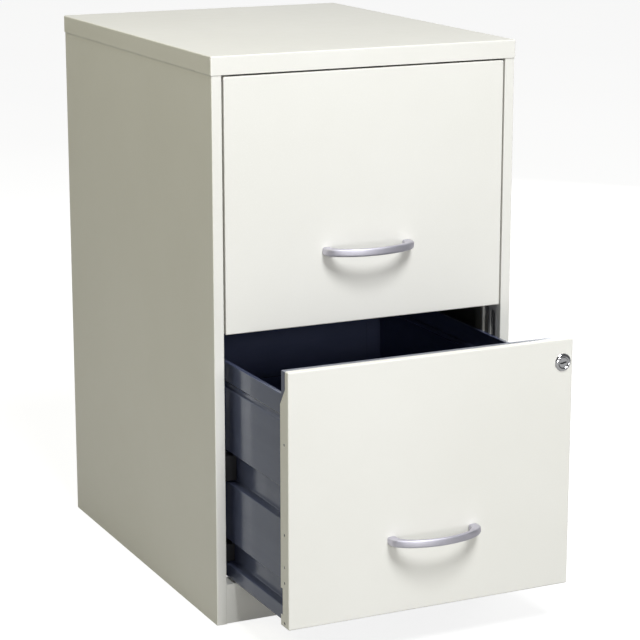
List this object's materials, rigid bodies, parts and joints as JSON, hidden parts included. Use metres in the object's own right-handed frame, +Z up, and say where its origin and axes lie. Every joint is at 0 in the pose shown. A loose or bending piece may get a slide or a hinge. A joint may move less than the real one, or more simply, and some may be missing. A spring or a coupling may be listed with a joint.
{
  "type": "filing cabinet",
  "caption": "Upright painted steel filing cabinet with sliding file drawers, arched bar pulls and a cam lock on the lower drawer, which stands part way out.",
  "frame": {"origin": "on the floor, under the centre of the box around the whole object with its lower drawer part way out", "axes": "+Z up, +Y towards the back of the cabinet, so the drawers open towards -Y, +X to the right for a person facing the drawers"},
  "size_m": [0.362, 0.6424, 0.622],
  "materials": {
    "off_white_paint": "semi-gloss powder coat",
    "dark_paint": "glossy dark blue-grey coat",
    "black_nylon": "moulded",
    "satin_silver": "satin silver",
    "chrome": "bright plated",
    "zinc_plate": "zinc plated"
  },
  "bodies": {
    "case": {"top_panel": "off_white_paint", "back_panel": "off_white_paint", "kick_rail": "off_white_paint", "rear_bottom_rail": "off_white_paint", "left_side_panel": "off_white_paint", "left_front_upright": "off_white_paint", "left_rear_upright": "off_white_paint", "lower_left_rail": "dark_paint", "lower_left_front_glide": "black_nylon", "lower_left_front_guide": "black_nylon", "upper_left_rail": "dark_paint", "upper_left_front_glide": "black_nylon", "upper_left_front_guide": "black_nylon", "right_side_panel": "off_white_paint", "right_front_upright": "off_white_paint", "right_rear_upright": "off_white_paint", "lower_right_rail": "dark_paint", "lower_right_front_glide": "black_nylon", "lower_right_front_guide": "black_nylon", "upper_right_rail": "dark_paint", "upper_right_front_glide": "black_nylon", "upper_right_front_guide": "black_nylon"},
    "upper_drawer": {"upper_drawer_front": "off_white_paint", "upper_drawer_liner": "dark_paint", "upper_drawer_bottom": "dark_paint", "upper_drawer_back": "dark_paint", "upper_handle": "satin_silver", "upper_drawer_left_side": "dark_paint", "upper_left_rear_glide": "black_nylon", "upper_handle_left_screw": "zinc_plate", "upper_drawer_right_side": "dark_paint", "upper_right_rear_glide": "black_nylon", "upper_handle_right_screw": "zinc_plate"},
    "lower_drawer": {"lower_drawer_front": "off_white_paint", "lower_drawer_liner": "dark_paint", "lower_drawer_bottom": "dark_paint", "lower_drawer_back": "dark_paint", "lower_handle": "satin_silver", "lower_drawer_left_side": "dark_paint", "lower_left_rear_glide": "black_nylon", "lower_handle_left_screw": "zinc_plate", "lower_drawer_right_side": "dark_paint", "lower_right_rear_glide": "black_nylon", "lower_handle_right_screw": "zinc_plate", "lock_housing": "chrome", "lock_clip": "zinc_plate"},
    "lock_cylinder": {"lock_plug": "chrome", "lock_cam": "zinc_plate", "lock_cam_screw": "zinc_plate"}
  },
  "joints": [
    {"name": "upper_drawer_slide", "type": "slide", "parent": "case", "child": "upper_drawer", "axis": [0, -1, 0], "range_m": [0, 0.297]},
    {"name": "lower_drawer_slide", "type": "slide", "parent": "case", "child": "lower_drawer", "axis": [0, -1, 0], "range_m": [-0.157, 0.14]},
    {"name": "lock_turn", "type": "hinge", "parent": "lower_drawer", "child": "lock_cylinder", "pos_m": [0.1545, -0.27325, 0.297], "axis": [0, 1, 0], "range_deg": [0, 90]}
  ]
}
